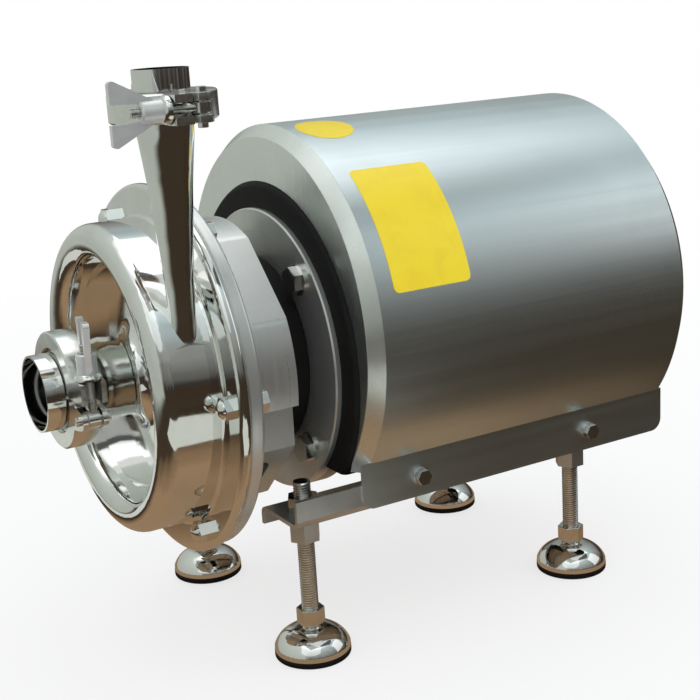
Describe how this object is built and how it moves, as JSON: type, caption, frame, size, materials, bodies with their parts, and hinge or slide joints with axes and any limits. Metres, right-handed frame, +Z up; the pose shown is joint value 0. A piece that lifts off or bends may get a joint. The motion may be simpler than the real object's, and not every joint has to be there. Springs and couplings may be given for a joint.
{
  "type": "sanitary centrifugal pump",
  "caption": "Close coupled centrifugal pump for hygienic fluids: polished volute casing, clamped ferrule ports, shrouded motor and levelling feet.",
  "frame": {"origin": "centre of the open suction mouth, on the shaft axis", "axes": "+X along the shaft towards the motor, +Z up, the discharge pipe on the -Y side"},
  "size_m": [0.446, 0.274, 0.398],
  "materials": {
    "polished_steel": "mirror polished stainless steel",
    "fastener_steel": "bright stainless steel",
    "brushed_steel": "brushed stainless steel",
    "turned_steel": "turned stainless steel",
    "spring_steel": "drawn wire",
    "seal_face": "lapped seal face",
    "white_gasket": "smooth white rubber",
    "black_rubber": "matt black rubber",
    "cast_aluminium": "cast",
    "bearing_steel": "ground",
    "lamination_steel": "stacked sheet",
    "black_plastic": "moulded"
  },
  "bodies": {
    "housing": {"pump_casing": "polished_steel", "casing_gasket": "white_gasket", "back_plate": "brushed_steel", "adapter": "brushed_steel", "splash_ring": "black_rubber", "casing_bolts": "fastener_steel", "dome_nuts": "fastener_steel", "seal_seat": "seal_face", "suction_ferrule": "polished_steel", "discharge_ferrule": "polished_steel", "suction_gasket": "white_gasket", "discharge_gasket": "white_gasket", "suction_clamp_lower": "polished_steel", "discharge_clamp_rear": "polished_steel", "clamp_pins": "fastener_steel", "motor_flange": "cast_aluminium", "motor_frame": "cast_aluminium", "motor_rear_shield": "cast_aluminium", "motor_bearings": "bearing_steel", "terminal_box": "cast_aluminium", "cable_gland": "black_plastic", "flange_bolts": "fastener_steel", "shroud_barrel": "brushed_steel", "shroud_front_plate": "brushed_steel", "shroud_rear_plate": "brushed_steel", "shroud_seal": "black_rubber", "shroud_bolts": "fastener_steel", "shroud_washers": "fastener_steel", "near_rail": "brushed_steel", "far_rail": "brushed_steel", "motor_foot_bolts": "fastener_steel", "foot_lock_nuts": "fastener_steel"},
    "rotor": {"pump_shaft": "turned_steel", "impeller": "turned_steel", "impeller_nut": "turned_steel", "seal_ring": "seal_face", "seal_spring": "spring_steel", "motor_shaft": "turned_steel", "rotor_core": "lamination_steel", "cooling_fan": "black_plastic"},
    "suction_bolt": {"suction_swing_bolt": "fastener_steel"},
    "suction_washer_body": {"suction_washer": "fastener_steel"},
    "suction_nut": {"suction_wing_nut": "fastener_steel"},
    "suction_half": {"suction_clamp_upper": "polished_steel"},
    "discharge_bolt": {"discharge_swing_bolt": "fastener_steel"},
    "discharge_washer_body": {"discharge_washer": "fastener_steel"},
    "discharge_nut": {"discharge_wing_nut": "fastener_steel"},
    "discharge_half": {"discharge_clamp_front": "polished_steel"},
    "front_near_stem": {"foot_front_near_stem": "fastener_steel"},
    "front_near_base": {"foot_front_near_bell": "polished_steel", "foot_front_near_pad": "black_rubber"},
    "front_far_stem": {"foot_front_far_stem": "fastener_steel"},
    "front_far_base": {"foot_front_far_bell": "polished_steel", "foot_front_far_pad": "black_rubber"},
    "rear_near_stem": {"foot_rear_near_stem": "fastener_steel"},
    "rear_near_base": {"foot_rear_near_bell": "polished_steel", "foot_rear_near_pad": "black_rubber"},
    "rear_far_stem": {"foot_rear_far_stem": "fastener_steel"},
    "rear_far_base": {"foot_rear_far_bell": "polished_steel", "foot_rear_far_pad": "black_rubber"}
  },
  "joints": [
    {"name": "shaft_spin", "type": "hinge", "parent": "housing", "child": "rotor", "pos_m": [0.2, 0, 0], "axis": [-1, 0, 0], "continuous": true},
    {"name": "suction_bolt_swing", "type": "hinge", "parent": "housing", "child": "suction_bolt", "pos_m": [0.0215, -0.0455, -0.01], "axis": [1, 0, 0], "range_deg": [0, 100]},
    {"name": "suction_washer_lift", "type": "slide", "parent": "suction_bolt", "child": "suction_washer_body", "axis": [0, 0, 1], "range_m": [0, 0.01377]},
    {"name": "suction_nut_spin", "type": "hinge", "parent": "suction_washer_body", "child": "suction_nut", "pos_m": [0.0215, -0.0455, 0.02], "axis": [0, 0, 1], "range_deg": [0, 3960]},
    {"name": "suction_half_open", "type": "hinge", "parent": "housing", "child": "suction_half", "pos_m": [0.0215, 0.0455, 0], "axis": [-1, 0, 0], "range_deg": [0, 8.35]},
    {"name": "discharge_bolt_swing", "type": "hinge", "parent": "housing", "child": "discharge_bolt", "pos_m": [0.077, -0.12775, 0.182], "axis": [0, 0, 1], "range_deg": [0, 100]},
    {"name": "discharge_washer_lift", "type": "slide", "parent": "discharge_bolt", "child": "discharge_washer_body", "axis": [-1, 0, 0], "range_m": [0, 0.01202]},
    {"name": "discharge_nut_spin", "type": "hinge", "parent": "discharge_washer_body", "child": "discharge_nut", "pos_m": [0.052, -0.12775, 0.182], "axis": [-1, 0, 0], "range_deg": [0, 4320]},
    {"name": "discharge_half_open", "type": "hinge", "parent": "housing", "child": "discharge_half", "pos_m": [0.07, -0.05025, 0.182], "axis": [0, 0, -1], "range_deg": [0, 8.55]},
    {"name": "foot_front_near_height", "type": "slide", "parent": "housing", "child": "front_near_stem", "axis": [0, 0, -1], "range_m": [-0.015, 0.01]},
    {"name": "foot_front_near_tilt", "type": "hinge", "parent": "front_near_stem", "child": "front_near_base", "pos_m": [0.1456, -0.0845, -0.181], "axis": [0, 1, 0], "range_deg": [-8, 8]},
    {"name": "foot_front_far_height", "type": "slide", "parent": "housing", "child": "front_far_stem", "axis": [0, 0, -1], "range_m": [-0.015, 0.01]},
    {"name": "foot_front_far_tilt", "type": "hinge", "parent": "front_far_stem", "child": "front_far_base", "pos_m": [0.1456, 0.0845, -0.181], "axis": [0, 1, 0], "range_deg": [-8, 8]},
    {"name": "foot_rear_near_height", "type": "slide", "parent": "housing", "child": "rear_near_stem", "axis": [0, 0, -1], "range_m": [-0.015, 0.01]},
    {"name": "foot_rear_near_tilt", "type": "hinge", "parent": "rear_near_stem", "child": "rear_near_base", "pos_m": [0.3738, -0.0845, -0.181], "axis": [0, 1, 0], "range_deg": [-8, 8]},
    {"name": "foot_rear_far_height", "type": "slide", "parent": "housing", "child": "rear_far_stem", "axis": [0, 0, -1], "range_m": [-0.015, 0.01]},
    {"name": "foot_rear_far_tilt", "type": "hinge", "parent": "rear_far_stem", "child": "rear_far_base", "pos_m": [0.3738, 0.0845, -0.181], "axis": [0, 1, 0], "range_deg": [-8, 8]}
  ],
  "couplings": [
    {"joint": "suction_washer_lift", "follows": "suction_nut_spin", "m_per_rad": 0.00019894},
    {"joint": "suction_half_open", "follows": "suction_nut_spin", "ratio": 0.002096},
    {"joint": "discharge_washer_lift", "follows": "discharge_nut_spin", "m_per_rad": 0.00015915},
    {"joint": "discharge_half_open", "follows": "discharge_nut_spin", "ratio": 0.0019676}
  ]
}
